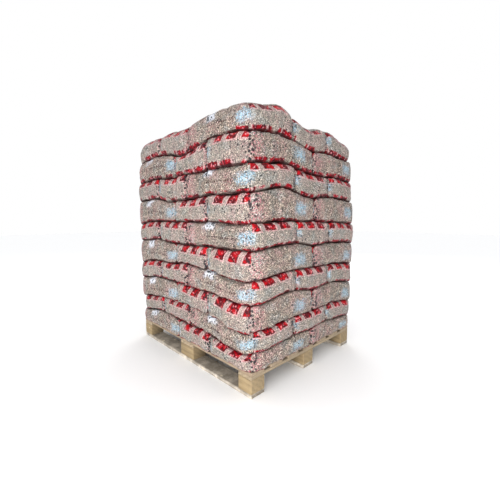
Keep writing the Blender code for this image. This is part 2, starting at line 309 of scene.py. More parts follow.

# Colours of the print. A red ink is fresh, deep in patches, and pale pink in others: partly wear, partly
# painted highlight.
END_HAZE = (0.42, 0.43, 0.41)
PINK = (0.66, 0.24, 0.29)
BLUE = (0.36, 0.60, 0.77)
LABEL = (0.80, 0.85, 0.95)
LABEL_BLACK = (0.014, 0.016, 0.022)
FRINGE = (0.82, 0.42, 0.44)
UPPER_REDS = ((0.44, 0.001, 0.007), (0.09, 0.0005, 0.004), (0.80, 0.27, 0.30))
LOWER_REDS = ((0.30, 0.001, 0.009), (0.075, 0.0005, 0.005), (0.74, 0.27, 0.31))
OUTLINE_RED = (0.035, 0.001, 0.004)
SEAM_LINE_RED = (0.13, 0.004, 0.008)
DASH_BLACK = (0.055, 0.020, 0.022)
SPECK_BLACK = (0.010, 0.012, 0.018)
# Painted shade in the fold under each sack, where it lies on the next
SEAM_SHADE = (0.030, 0.009, 0.009)

# Woods by the start of a node's name: the material's name, the axis of the grain, its pale and dark tone,
# how dirty it is, and how strong its painted shade is further in from the pallet's sides
WOODS = {
    "block": ("sawn_block_wood", "y", (0.40, 0.30, 0.168), (0.26, 0.19, 0.105), 0.2, 0.8),
    "deck_board": ("deck_board_wood", "y", (0.53, 0.41, 0.29), (0.32, 0.24, 0.165), 0.3, 0.9),
    "stringer": ("stringer_wood", "x", (0.50, 0.40, 0.27), (0.31, 0.24, 0.16), 0.3, 0.9),
    "bottom_board": ("trodden_wood", "y", (0.84, 0.76, 0.65), (0.50, 0.445, 0.37), 0.7, 0.10),
}
WOOD_SHIFT = 7.0
GRAIN_ALONG = 1.5
GRAIN_ACROSS = 16.0
RING_VALUES = {"Scale": 0.8, "Distortion": 6.0, "Detail": 3.0, "Detail Scale": 1.2}
RING_SHARE = 0.25
FIBRE_STRETCH = (8.0, 8.0, 8.0)
FIBRE_NOISE = (1.0, 4.0, 0.6)
TONE_STOPS = (0.25, 0.75)
FACING = (0.6, 0.9)
TRODDEN_TOP = (0.54, 0.475, 0.39)
END_GRAIN = (0.17, 0.145, 0.105)
DIRT_NOISE = (14.0, 5.0, 0.65)
DIRT_STEP = (0.48, 0.75)
DIRT_SPREAD = 0.2
DIRT_COVER = 0.9
DIRT = (0.13, 0.11, 0.085)
BLOTCHES = (70.0, 3.0, 0.55, 0.70, 0.0)
BLOTCH_COVER = 0.5
BLOTCH = (0.46, 0.41, 0.33)
CHIP_STRETCH = (1.0, 0.7, 1.6)
CHIP_SIZE = 0.028
CHIP_SHARE = 0.12
CHIP_RADIUS = 0.42
CHIP = (0.70, 0.62, 0.48)
# Painted shade further in from the pallet's sides: how far in it grows to full, and its colour
INNER_SHADE_DEPTH = 0.110
INNER_SHADE_COLOR = (0.050, 0.038, 0.024)
WOOD_SHINE = {"Roughness": 0.85, "Specular IOR Level": 0.25}
WOOD_BUMP = (0.5, 0.002)


class Graph:
    """Short names for making the nodes of one material."""

    def __init__(self, name):
        self.material = bpy.data.materials.new(name)
        self.material.use_nodes = True
        self.nodes = self.material.node_tree.nodes
        self.links = self.material.node_tree.links
        self.shader = self.nodes["Principled BSDF"]

    def set(self, socket, value):
        """Links a node's output to a socket, or gives it a plain value. A colour is made opaque here."""
        if isinstance(value, bpy.types.NodeSocket):
            self.links.new(value, socket)
        elif socket.type == "RGBA":
            socket.default_value = (*value, 1.0)
        else:
            socket.default_value = value

    def node(self, kind, inputs, **settings):
        """Makes a node with its settings, then gives it its inputs, by their numbers or names."""
        node = self.nodes.new(kind)
        for name, value in settings.items():
            setattr(node, name, value)
        for socket, value in inputs.items():
            self.set(node.inputs[socket], value)
        return node

    def paint(self, color, shine, normal=None):
        """Gives the shader its colour, its other values and, if there is one, its bumpy normal."""
        self.set(self.shader.inputs["Base Color"], color)
        for name, value in shine.items():
            self.set(self.shader.inputs[name], value)
        if normal is not None:
            self.set(self.shader.inputs["Normal"], normal)
        return self.material

    def math(self, operation, a, b=0.0):
        return self.node("ShaderNodeMath", {0: a, 1: b}, operation=operation).outputs[0]

    def vector_math(self, operation, a, b):
        return self.node("ShaderNodeVectorMath", {0: a, 1: b}, operation=operation).outputs[0]

    def product(self, first, *others):
        for other in others:
            first = self.math("MULTIPLY", first, other)
        return first

    def highest(self, first, *others):
        for other in others:
            first = self.math("MAXIMUM", first, other)
        return first

    def ramp(self, value, low, high, to_low=0.0, to_high=1.0):
        """A smooth step from to_low below low to to_high above high."""
        inputs = {0: value, 1: low, 2: high, 3: to_low, 4: to_high}
        return self.node("ShaderNodeMapRange", inputs, interpolation_type="SMOOTHSTEP").outputs[0]

    def falling(self, value, low, high):
        """A smooth step from 1 below low to 0 above high."""
        return self.ramp(value, low, high, 1.0, 0.0)

    def band(self, value, low, high, soft):
        """1 between low and high and 0 outside, with a soft step at both ends."""
        rising = self.ramp(value, low - soft, low + soft)
        return self.product(rising, self.falling(value, high - soft, high + soft))

    def rim(self, value, half, start, end):
        """A smooth step from 0 to 1 towards both ends of a direction, by the distance from its end."""
        return self.ramp(self.math("ABSOLUTE", value), half - start, half - end)

    def within(self, value, half, start, end):
        """A smooth step from 1 to 0 towards both ends of a direction, by the distance from its end."""
        return self.falling(self.math("ABSOLUTE", value), half - start, half - end)

    def repeated(self, value, shift, half_step):
        """Distance from the nearest of evenly spaced lines that are two half steps apart."""
        return self.math("PINGPONG", self.math("ADD", value, shift), half_step)

    def mix(self, factor, a, b, blend="MIX"):
        inputs = {"Factor": factor, "A": a, "B": b}
        return self.node("ShaderNodeMix", inputs, data_type="RGBA", blend_type=blend).outputs["Result"]

    def colors(self, value, stops):
        """A colour ramp: stops are (place, colour)."""
        node = self.node("ShaderNodeValToRGB", {0: value})
        elements = node.color_ramp.elements
        while len(elements) < len(stops):
            elements.new(0.5)
        for element, (place, color) in zip(elements, stops):
            element.position = place
            element.color = (*color, 1.0)
        return node.outputs[0]

    def noise(self, vector, scale, detail, roughness=0.5):
        inputs = {"Vector": vector, "Scale": scale, "Detail": detail, "Roughness": roughness}
        return self.node("ShaderNodeTexNoise", inputs).outputs[0]

    def patches(self, vector, scale, detail, low, high, to_low=0.0, to_high=1.0):
        """Noise made into patches by a smooth step."""
        return self.ramp(self.noise(vector, scale, detail), low, high, to_low, to_high)

    def voronoi(self, vector, feature="F1"):
        return self.node("ShaderNodeTexVoronoi", {"Vector": vector, "Scale": 1.0}, feature=feature)

    def specks(self, where, size, share, radius):
        """Round spots, one in a given share of the cells of a grid. Their radius is in cells."""
        cells = self.voronoi(self.vector_math("MULTIPLY", where, (1 / size, 1 / size, 1 / size)))
        spot = self.falling(cells.outputs["Distance"], radius - SPECK_SOFTNESS, radius)
        return self.product(spot, self.math("LESS_THAN", self.channels(cells.outputs["Color"])[1], share))

    def mapping(self, vector, scale, turn=(0.0, 0.0, 0.0)):
        """The vector turned, then stretched."""
        turned = self.node("ShaderNodeMapping", {"Vector": vector, "Rotation": turn})
        return self.node("ShaderNodeMapping", {"Vector": turned.outputs[0], "Scale": scale}).outputs[0]

    def bump(self, height, strength, distance, normal=None):
        inputs = {"Height": height, "Strength": strength, "Distance": distance}
        if normal is not None:
            inputs["Normal"] = normal
        return self.node("ShaderNodeBump", inputs).outputs[0]

    def attribute(self, name, output):
        """A value that is stored on the points of the mesh."""
        return self.node("ShaderNodeAttribute", {}, attribute_name=name).outputs[output]

    def object_place(self):
        return self.node("ShaderNodeTexCoord", {}).outputs["Object"]

    def channels(self, color):
        return self.node("ShaderNodeSeparateColor", {0: color}).outputs

    def axes(self, vector):
        return self.node("ShaderNodeSeparateXYZ", {0: vector}).outputs


def sack_places(layer):
    """The seven sacks of a layer: plan rectangle (x0, x1, y0, y1) and the axis that the sack lies along."""
    places = []
    for i in range(2):
        for j in range(2):
            x0 = -PALLET_X / 2 + i * CROSS_SACK_LENGTH
            y0 = -PALLET_Y / 2 + j * SACK_WIDTH
            places.append(((x0, x0 + CROSS_SACK_LENGTH, y0, y0 + SACK_WIDTH), "x"))
    for i in range(3):
        x0 = -PALLET_X / 2 + i * SACK_WIDTH
        places.append(((x0, x0 + SACK_WIDTH, PALLET_Y / 2 - LENGTHWISE_SACK_LENGTH, PALLET_Y / 2), "y"))
    if layer % 2 == 0:
        places = [((-x1, -x0, -y1, -y0), axis) for (x0, x1, y0, y1), axis in places]
    return places


def from_joints(value, low, high, half_side):
    """Distance to the nearer joint with a neighbour. The stack's outer sides aren't joints."""
    distance = np.full_like(value, 1.0)
    if low > -half_side + HAIR:
        distance = np.minimum(distance, value - low)
    if high < half_side - HAIR:
        distance = np.minimum(distance, high - value)
    return distance


def swell(layer, x, y):
    """How full the sacks of a layer are at points of the plan: 0 at joints, 1 where they are fullest."""
    amount = np.zeros_like(x)
    for (x0, x1, y0, y1), axis in sack_places(layer):
        inside = (x >= x0) & (x <= x1) & (y >= y0) & (y <= y1)
        from_x = from_joints(x, x0, x1, PALLET_X / 2)
        from_y = from_joints(y, y0, y1, PALLET_Y / 2)
        ends, sides, length = (from_x, from_y, x1 - x0) if axis == "x" else (from_y, from_x, y1 - y0)
        along = np.sin(END_CURVE * np.pi * np.clip(ends / length, 0, 1) ** END_POWER)
        across = 1 - (1 - np.clip(sides / JOINT_DIP_WIDTH, 0, 1)) ** 2
        amount = np.where(inside, np.maximum(amount, along * across), amount)
    return amount


def read_along(heights, part):
    """A smooth curve through evenly spaced heights, at a part of the way along from 0 to 1."""
    values = np.array([heights[0], *heights, heights[-1]]) / 1000
    step = np.clip(part, 0, 1) * (len(heights) - 1)
    i = np.clip(step.astype(int), 0, len(heights) - 2)
    f = step - i
    a, b, c, d = values[i], values[i + 1], values[i + 2], values[i + 3]
    square = 2 * a - 5 * b + 4 * c - d
    cube = 3 * b - a - 3 * c + d
    return 0.5 * (2 * b + (c - a) * f + square * f ** 2 + cube * f ** 3)


def edge_heights(layer, x, y):
    """The height of a layer at each side's nearest point: front, left, back and right.

    The unseen back and right repeat a neighbouring layer's seen sides turned half round, as the sacks do.
    """
    along_x, along_y = x / PALLET_X + 0.5, y / PALLET_Y + 0.5
    other = layer + 1 if layer < LAYERS else layer - 1
    rise = (np.mean(FRONT_SEAMS[layer - 1]) - np.mean(FRONT_SEAMS[other - 1])) / 1000
    return (read_along(FRONT_SEAMS[layer - 1], along_x), read_along(LEFT_SEAMS[layer - 1], along_y),
            read_along(FRONT_SEAMS[other - 1], 1 - along_x) + rise,
            read_along(LEFT_SEAMS[other - 1], 1 - along_y) + rise)


def interface_height(layer, x, y):
    """Height of the soft surface on top of a layer. Layer 0 is the pallet's flat deck."""
    x = np.clip(x, -PALLET_X / 2, PALLET_X / 2)
    y = np.clip(y, -PALLET_Y / 2, PALLET_Y / 2)
    if layer == 0:
        return np.full_like(x, DECK_TOP)
    amount = TOP_SWELL if layer == LAYERS else SWELL
    edge_x, edge_y = np.full_like(x, PALLET_X / 2 - HAIR), np.full_like(y, PALLET_Y / 2 - HAIR)
    feet = ((x, -edge_y), (-edge_x, y), (x, edge_y), (edge_x, y))
    away = (y + PALLET_Y / 2, x + PALLET_X / 2, PALLET_Y / 2 - y, PALLET_X / 2 - x)
    total, weights = np.zeros_like(x), np.zeros_like(x)
    for height, foot, distance in zip(edge_heights(layer, x, y), feet, away):
        weight = (distance + SIDE_REACH) ** SIDE_FADE
        total += weight * (height - amount * swell(layer, *foot))
        weights += weight
    return total / weights + amount * swell(layer, x, y)


def cut_lines(half):
    """Where a side of the block is cut: closely by its edges, then evenly."""
    inner = half - EDGE_LINES[-1]
    count = round(2 * inner / SACK_CELL)
    even = [inner * (2 * i / count - 1) for i in range(count + 1)]
    return [e - half for e in EDGE_LINES[:-1]] + even + [half - e for e in reversed(EDGE_LINES[:-1])]


def block_mesh(half):
    """A block cut into small squares, as a bmesh."""
    bm = bmesh.new()
    bmesh.ops.create_cube(bm, size=2.0)
    bmesh.ops.scale(bm, vec=half, verts=bm.verts)
    for axis in range(3):
        normal = Vector((axis == 0, axis == 1, axis == 2))
        for place in cut_lines(half[axis]):
            geometry = bm.verts[:] + bm.edges[:] + bm.faces[:]
            bmesh.ops.bisect_plane(bm, geom=geometry, plane_co=normal * place, plane_no=normal)
    return bm


def soft_dents(point, seed):
    """Shallow dents of a filled sack, in metres, outward."""
    at = point + Vector([seed * shift for shift in SEED_SHIFT])
    return sum(depth * noise.noise(at * scale) for depth, scale in DENTS)


def empty_bag(flat, seed):
    """The points of the sack's block moved to an empty bag: two sheets that meet half way up its sides."""
    half = np.array(SACK_HALF)
    spread = half[2] - np.abs(flat[:, 2])
    thinner = np.full_like(spread, EMPTY_BAG_HALF / half[2])
    bag = flat * np.stack([(half[0] + spread) / half[0], (half[1] + spread) / half[1], thinner], 1)
    wander = [noise.noise(Vector(p) * WRINKLE_SCALE + Vector((seed, 0, 0))) for p in flat]
    bag[:, 2] += WRINKLE_HEIGHT * np.array(wander)
    return bag


def blown_up(bag, faces):
    """The points of the bag after Blender's Cloth has filled it with pressure."""
    mesh = bpy.data.meshes.new("bag")
    mesh.from_pydata(bag.tolist(), [], faces)
    obj = bpy.data.objects.new("bag", mesh)
    bpy.context.scene.collection.objects.link(obj)
    cloth = obj.modifiers.new("filling", "CLOTH")
    cloth.settings.use_pressure = True
    cloth.settings.uniform_pressure_force = BAG_PRESSURE
    cloth.settings.use_pressure_volume = True
    cloth.settings.target_volume = FILLED_VOLUME
    cloth.settings.effector_weights.gravity = 0.0
    cloth.settings.bending_stiffness = BAG_STIFFNESS
    cloth.point_cache.frame_end = BAG_FRAMES
    for step in range(1, BAG_FRAMES + 1):
        bpy.context.scene.frame_set(step)
    filled = obj.evaluated_get(bpy.context.evaluated_depsgraph_get()).data
    points = np.zeros(3 * len(bag), np.float32)
    filled.vertices.foreach_get("co", points)
    bpy.context.scene.frame_set(1)
    bpy.data.objects.remove(obj)
    return points.reshape(-1, 3).astype(float)


def smoothed(points, edges, rounds):
    """The points after each has moved to the mean of its neighbours a number of times."""
    count = np.bincount(edges.ravel(), minlength=len(points))[:, None]
    for _ in range(rounds):
        total = np.zeros_like(points)
        np.add.at(total, edges[:, 0], points[edges[:, 1]])
        np.add.at(total, edges[:, 1], points[edges[:, 0]])
        points = total / count
    return points


def point_normals(mesh):
    """The direction outward at each point of a mesh."""
    normals = np.zeros(3 * len(mesh.vertices), np.float32)
    mesh.vertices.foreach_get("normal", normals)
    return normals.reshape(-1, 3)


def bag_creases(flat, faces, edges, seed):
    """How far each point of a filled bag stands out of its smoothed shape, in metres."""
    filled = blown_up(empty_bag(flat, seed), faces)
    smooth = smoothed(filled, edges, BAG_SMOOTHING)
    mesh = bpy.data.meshes.new("smooth_bag")
    mesh.from_pydata(smooth.tolist(), [], faces)
    depth = np.sum((filled - smooth) * point_normals(mesh), axis=1)
    bpy.data.meshes.remove(mesh)
    return CREASE_LIMIT * np.tanh((depth - np.median(depth)) / CREASE_LIMIT)


def sack_master(seed):
    """One sack lying flat: the points of its block, how far each stands out or in, and its faces."""
    bm = block_mesh(SACK_HALF)
    flat = np.array([tuple(v.co) for v in bm.verts])
    creases = np.array([soft_dents(v.co, seed) for v in bm.verts])
    faces = [[v.index for v in f.verts] for f in bm.faces]
    edges = np.array([[v.index for v in e.verts] for e in bm.edges])
    bm.free()
    creases += bag_creases(flat, faces, edges, seed)
    return flat, creases, faces


def overhangs(layer, place):
    """How far each side of a plan rectangle stands over the pallet's edge, or None at a joint."""
    x0, x1, y0, y1 = place
    left, front = OVERHANG_LEFT[layer - 1], OVERHANG_FRONT[layer - 1]
    return (left if x0 < -PALLET_X / 2 + HAIR else None, front if x1 > PALLET_X / 2 - HAIR else None,
            front if y0 < -PALLET_Y / 2 + HAIR else None, left if y1 > PALLET_Y / 2 - HAIR else None)


def round_off(position, low, high, low_round, high_round):
    """The nearest place in a direction's core, how far out of it from -1 to 1, and the rounding's width."""
    core = np.clip(position, low + low_round, high - high_round)
    out = position - core
    width = np.where(out < 0, low_round, high_round)
    return core, out / width, width


def squareness(layer, w):
    """The power of the rounding at heights w of a sack, from -1 at its underside to 1 on top."""
    upper_power = TOP_POWER if layer == LAYERS else UPPER_POWER
    step = np.clip(w / POWER_BLEND + 0.5, 0, 1)
    power = LOWER_POWER + (upper_power - LOWER_POWER) * step ** 2 * (3 - 2 * step)
    return power * (1 + WEIGHT_SQUARENESS * (LAYERS - layer) / (LAYERS - 1))


def pressed(unit, layer, place, axis):
    """The points of a unit block pressed into a sack's place, and how freely each may stand out."""
    u, v, w = unit.T
    across_x, across_y = (u, v) if axis == "x" else (-v, u)
    top = layer == LAYERS
    upper = np.clip(w, 0, 1) * top
    joint_round = TOP_JOINT_ROUND if top else JOINT_ROUND
    out = overhangs(layer, place)
    rounds = [joint_round if o is None else OUTER_ROUND + (TOP_ROUND - OUTER_ROUND) * upper for o in out]
    moves = [-SACK_GAP if o is None else o for o in out]
    x0, x1, y0, y1 = [side + sign * move for side, sign, move in zip(place, (-1, 1, -1, 1), moves)]
    x = x0 + (x1 - x0) * (across_x + 1) / 2
    y = y0 + (y1 - y0) * (across_y + 1) / 2
    core_x, out_x, width_x = round_off(x, x0, x1, rounds[0], rounds[1])
    core_y, out_y, width_y = round_off(y, y0, y1, rounds[2], rounds[3])
    free_x = np.where(out_x < 0, out[0] is not None, out[1] is not None)
    free_y = np.where(out_y < 0, out[2] is not None, out[3] is not None)

    bulge = FACE_BULGE * (1 - w ** 2)
    bulge_x = bulge * np.abs(out_x) ** BULGE_POWER * (1 - across_y ** 2)
    bulge_y = bulge * np.abs(out_y) ** BULGE_POWER * (1 - across_x ** 2)
    rounded = (abs(out_x) ** PLAN_POWER + abs(out_y) ** PLAN_POWER) ** (1 / PLAN_POWER)
    ring = np.where(free_x & free_y, np.maximum(abs(out_x), abs(out_y)), rounded)
    power = squareness(layer, w)
    length = (ring ** power + abs(w) ** power) ** (1 / power)
    x = core_x + out_x / length * width_x + np.sign(out_x) * bulge_x * free_x
    y = core_y + out_y / length * width_y + np.sign(out_y) * bulge_y * free_y
    x, y = round_stack_corner(layer, x, y)
    low = interface_height(layer - 1, x, y) + SACK_GAP / 2
    high = interface_height(layer, x, y) - SACK_GAP / 2
    free = np.maximum(np.maximum(abs(out_x) * free_x, abs(out_y) * free_y), upper * TOP_FREEDOM) / length
    return np.stack([x, y, low + (high - low) * (w / length + 1) / 2], 1), free ** FREEDOM_POWER


def round_stack_corner(layer, x, y):
    """Rounds the stack's own upright corners in plan."""
    left, front = OVERHANG_LEFT[layer - 1], OVERHANG_FRONT[layer - 1]
    reach_x = PALLET_X / 2 + np.where(x < 0, left, front) - STACK_CORNER
    reach_y = PALLET_Y / 2 + np.where(y < 0, front, left) - STACK_CORNER
    a = np.clip((abs(x) - reach_x) / STACK_CORNER, 0, None)
    b = np.clip((abs(y) - reach_y) / STACK_CORNER, 0, None)
    pull = np.maximum(a, b) / np.maximum((a ** 2 + b ** 2) ** 0.5, 1e-9)
    pull = np.where((a > 0) & (b > 0), pull, 1.0)
    x = np.where(a > 0, np.sign(x) * (reach_x + a * pull * STACK_CORNER), x)
    y = np.where(b > 0, np.sign(y) * (reach_y + b * pull * STACK_CORNER), y)
    return x, y


def store_values(mesh, name, kind, field, values):
    """Stores values on the points of a mesh, where its material reads them."""
    stored = mesh.attributes.new(name, kind, "POINT")
    stored.data.foreach_set(field, values.astype(np.float32).ravel())


def place_sack(name, layer, place, axis, master, tone):
    """Presses a master sack into its place between the layers and makes it an object.

    The sacks that lie along Y are turned half round, so all the visible ends show the same end of the
    print.
    """
    flat, creases, faces = master
    lengthwise = axis == "y"
    turn = np.array([-1, -1, 1]) if lengthwise else np.ones(3)
    points, free = pressed(flat * turn / np.array(SACK_HALF), layer, place, axis)
    mesh = bpy.data.meshes.new(name)
    mesh.from_pydata(points.tolist(), [], faces)
    mesh.polygons.foreach_set("use_smooth", [True] * len(mesh.polygons))
    depth = np.where(creases > 0, creases * free, creases)
    points += point_normals(mesh) * depth[:, None]
    mesh.vertices.foreach_set("co", points.astype(np.float32).ravel())
    mesh.update()
    store_values(mesh, "sack_place", "FLOAT_VECTOR", "vector", flat)
    slide = PRINT_SLIDE[layer - 1]
    numbers = {"sack_tone": tone, "sack_lengthwise": float(lengthwise), "sack_slide": slide}
    for number_name, number in numbers.items():
        store_values(mesh, number_name, "FLOAT", "value", np.full(len(points), number))
    obj = bpy.data.objects.new(name, mesh)
    bpy.context.scene.collection.objects.link(obj)
    return obj


def pellet_layer(g, where, turn):
    """Rods of pressed wood lying one way: their colours and the gaps between them."""
    stretched = g.mapping(where, (1 / ROD_LENGTH, 1 / ROD_THICKNESS, 1 / ROD_THICKNESS), turn)
    first, second = g.channels(g.voronoi(stretched).outputs["Color"])[:2]
    edges = g.voronoi(stretched, "DISTANCE_TO_EDGE")
    color = g.mix(TINT_SHARE, g.colors(first, ROD_SHADES), g.colors(second, ROD_TINTS))
    return color, g.ramp(edges.outputs["Distance"], *ROD_GAP)


def pellets(g, where):
    """The colour of a mass of rods that lie two ways in patches, and the gaps between them."""
    (lying, lying_gap), (slanting, slanting_gap) = [pellet_layer(g, where, turn) for turn in ROD_TURNS]
    patch = g.patches(where, *SLANTING_RODS)
    color = g.mix(patch, lying, slanting)
    lying_gap = g.product(lying_gap, g.math("SUBTRACT", 1.0, patch))
    gap = g.math("ADD", lying_gap, g.product(slanting_gap, patch))
    hue = g.colors(g.noise(where, HUE_SCALE, 2.0), BROAD_HUES)
    # Painted shade in the gaps between rods, then grit and broad hues, each multiplied in
    for shade in (g.ramp(gap, 0.0, 1.0, GAP_SHADE, 1.0), g.patches(where, *GRIT), hue):
        color = g.mix(1.0, color, shade, "MULTIPLY")
    return color, gap


def under_film(g, where, color):
    """A colour seen through hazy film, with painted highlights along fold lines."""
    haze_color = g.colors(g.noise(where, HAZE_SCALE, 2.0), HAZE_COLORS)
    color = g.mix(g.patches(where, *HAZE), color, haze_color)
    folds = g.voronoi(g.mapping(where, FOLD_CELLS, FOLD_TURN), "DISTANCE_TO_EDGE")
    # Painted highlights: pale lines where the film folds
    painted_fold_highlights = g.product(g.falling(folds.outputs["Distance"], *FOLD_WIDTH), g.patches(where, *FOLD_HIGHLIGHT_PATCHES))
    return g.mix(painted_fold_highlights, color, FOLD_HIGHLIGHT)


def sack_material():
    """Pellets in printed film. Every sack has its own part of the noise, by its tone."""
    g = Graph("pellets_in_printed_film")
    place = g.attribute("sack_place", "Vector")
    shift = g.product(g.attribute("sack_tone", "Fac"), TONE_SHIFT)
    where = g.vector_math("ADD", g.object_place(), shift)
    color, gap = pellets(g, where)
    color = add_print(g, place, where, under_film(g, where, color))
    stretched = g.vector_math("MULTIPLY", g.vector_math("ADD", place, shift), CRINKLE_STRETCH)
    crinkle = g.noise(stretched, *CRINKLE_NOISE)
    return g.paint(color, FILM_SHINE, g.bump(crinkle, *CRINKLE_BUMP, g.bump(gap, *ROD_BUMP)))


class PrintPlace:
    """Where a point of the film lies on its sack, as the values that the printed marks are made from."""

    def __init__(self, g, place, where):
        self.g = g
        self.along, self.across, self.height = g.axes(place)
        self.up = g.math("ADD", self.height, g.attribute("sack_slide", "Fac"))
        self.lengthwise = g.attribute("sack_lengthwise", "Fac")
        self.side = g.rim(self.across, SACK_HALF.y, *SIDE_RIM)
        self.end = g.rim(self.along, SACK_HALF.x, *END_RIM)
        self.side_hand = g.product(g.math("SIGN", self.across), self.along, -1.0)
        self.end_hand = g.product(g.math("SIGN", self.along), self.across)
        self.ragged = g.product(g.math("SUBTRACT", g.noise(where, *RAGGED_NOISE), 0.5), RAGGED_SIZE)
        self.grain = g.patches(where, *PALE_INK_GRAIN)
        self.side_place = g.math("ADD", self.side_hand, self.ragged)
        self.end_place = g.math("ADD", self.end_hand, self.ragged)
        self.up_place = self.torn(self.up, TORN_PALE_MARKS)

    def torn(self, value, share):
        """A value moved by a share of the ragged noise, which tears the edges of what is made from it."""
        return self.g.math("ADD", value, self.g.product(self.ragged, share))


def add_pale_marks(g, at, where, color):
    """A pink wash at one end of each long side, pale blue patches at the other and a pale label.

    Returns the colour, and where dark specks lie on the blue.
    """
    color = g.mix(g.product(at.end, END_HAZE_COVER), color, END_HAZE)
    wash = g.highest(g.band(at.side_place, *PINK_ALONG), g.patches(where, *PINK_PATCHES))
    on_ends = g.product(at.end, PINK_COVER_ON_ENDS)
    wash = g.product(wash, g.highest(at.side, on_ends), g.patches(where, *PINK_GRAIN))
    color = g.mix(wash, color, PINK)
    blue_at = g.math("SUBTRACT", at.side_place, g.product(at.lengthwise, BLUE_LENGTHWISE_SHIFT))
    blue = g.product(g.band(blue_at, *BLUE_ALONG), g.band(at.up_place, *BLUE_UP), at.side)
    corner = g.product(g.band(at.end_place, *CORNER_ACROSS), g.band(at.up_place, *CORNER_UP),
                       at.end, CORNER_COVER)
    blue = g.product(g.highest(blue, corner), at.grain)
    color = g.mix(blue, color, BLUE)
    label = g.product(g.band(at.side_place, *LABEL_ALONG), g.band(at.up_place, *LABEL_UP),
                      at.side, at.lengthwise)
    color = g.mix(g.product(label, g.ramp(at.grain, *LABEL_GRAIN)), color, LABEL)
    color = g.mix(g.product(label, g.specks(where, *LABEL_SPECKS)), color, LABEL_BLACK)
    return color, g.highest(corner, g.product(blue, SPECKS_ON_BLUE))


def upper_row(g, at, where, end_strip):
    """Leaning red blocks under the upper edge of each end: the blocks, their halo and their outlines."""
    leaning = g.math("ADD", at.across, at.torn(g.product(at.up, BLOCK_LEAN), TORN_UPPER_BLOCKS))
    column = g.repeated(leaning, UPPER_BLOCK_SHIFT, BLOCK_HALF_STEP)
    level = at.torn(at.up, TORN_UPPER_ROW)
    strip = g.product(end_strip, g.falling(at.across, *UPPER_ROW_REACH))
    row = g.product(g.ramp(level, *UPPER_ROW_LEVEL), strip)
    blocks = g.product(g.falling(column, *UPPER_BLOCK_EDGE), row)
    halo = g.product(g.ramp(level, *HALO_LEVEL), strip,
                     g.ramp(column, *HALO_BLOCK_EDGE, 1.0, HALO_BETWEEN_BLOCKS))
    outlines = g.highest(g.band(column, *BLOCK_OUTLINE), g.band(level, *ROW_OUTLINE))
    return blocks, halo, g.product(outlines, blocks, g.patches(where, *OUTLINE_BREAKS))


def lower_rows(g, at, where, end_strip):
    """Ragged red rows along the lower edge: the blocks of all four sides, and the ends' unbroken row."""
    level = at.torn(at.up, TORN_LOWER_ROWS)
    end_column = g.repeated(at.torn(at.across, TORN_LOWER_BLOCKS), LOWER_BLOCK_SHIFT, BLOCK_HALF_STEP)
    end_row = g.product(g.falling(level, *END_ROW_LEVEL), end_strip, g.patches(where, *END_ROW_BREAKS))
    end_blocks = g.product(g.falling(end_column, *LOWER_BLOCK_EDGE), end_row)
    side_strip = g.product(g.rim(at.across, SACK_HALF.y, *ROW_RIM),
                           g.within(at.along, SACK_HALF.x, *ROW_END))
    side_column = g.repeated(at.torn(at.along, TORN_LOWER_BLOCKS), SIDE_BLOCK_SHIFT, SIDE_BLOCK_HALF_STEP)
    side_blocks = g.product(g.falling(level, *SIDE_ROW_LEVEL), side_strip,
                            g.falling(side_column, *SIDE_BLOCK_EDGE), g.patches(where, *SIDE_ROW_BREAKS))
    return g.highest(end_blocks, side_blocks), end_row


def red_ink(g, deep, wear_and_sheen, reds):
    fresh, dark, pale = reds
    return g.mix(wear_and_sheen, g.mix(deep, fresh, dark), pale)


def add_red_rows(g, at, where, color):
    """Red blocks under the upper edge of each end, and ragged rows along the lower edge of every side."""
    end_strip = g.product(g.rim(at.along, SACK_HALF.x, *ROW_RIM),
                          g.within(at.across, SACK_HALF.y, *ROW_END))
    upper, halo, outlines = upper_row(g, at, where, end_strip)
    lower, end_row = lower_rows(g, at, where, end_strip)
    start, end = SEAM_LINE_HEIGHT
    seam_line = g.product(g.ramp(at.height, SACK_HALF.z - start, SACK_HALF.z - end), end_strip,
                          g.within(at.along, SACK_HALF.x, *SEAM_LINE_RIM))

    fringe = g.highest(halo, g.product(end_row, END_ROW_FRINGE))
    color = g.mix(g.product(fringe, g.patches(where, *FRINGE_GRAIN), FRINGE_COVER), color, FRINGE)
    # Pale pink patches of the red ink: partly wear, partly painted highlight
    wear_and_sheen = g.patches(where, *WORN_INK_AND_SHEEN)
    deep = g.patches(where, *DEEP_INK)
    color = g.mix(upper, color, red_ink(g, deep, wear_and_sheen, UPPER_REDS))
    color = g.mix(g.product(outlines, OUTLINE_COVER), color, OUTLINE_RED)
    color = g.mix(lower, color, red_ink(g, deep, wear_and_sheen, LOWER_REDS))
    return g.mix(g.product(seam_line, SEAM_LINE_COVER), color, SEAM_LINE_RED)


def add_dark_marks(g, at, where, color, pale):
    """A row of dashes along the sides of the lengthwise sacks, and specks in clusters and alone."""
    dash = g.falling(g.math("PINGPONG", at.side_hand, DASH_HALF_STEP), *DASH_EDGE)
    level = at.torn(at.up, TORN_DASHES)
    dashes = g.product(g.band(at.side_hand, *DASHES_ALONG), g.band(level, *DASHES_UP), dash,
                       at.side, g.patches(where, *DASH_BREAKS), at.lengthwise)
    color = g.mix(g.product(dashes, DASH_COVER), color, DASH_BLACK)

    near_side_end = g.product(g.falling(at.side_place, *SPECKS_NEAR_SIDE_END), at.side)
    near_corner = g.product(g.ramp(at.end_place, *SPECKS_NEAR_CORNER), at.end)
    clusters = g.product(g.highest(near_side_end, near_corner), g.patches(where, *SPECK_PATCHES))
    small = g.product(g.specks(where, *PALE_MARK_SPECKS), pale)
    large = g.product(g.specks(where, *CLUSTERED_SPECKS), clusters)
    stray = g.specks(g.vector_math("ADD", where, STRAY_SHIFT), *STRAY_SPECKS)
    return g.mix(g.product(g.highest(small, large, stray), SPECK_COVER), color, SPECK_BLACK)


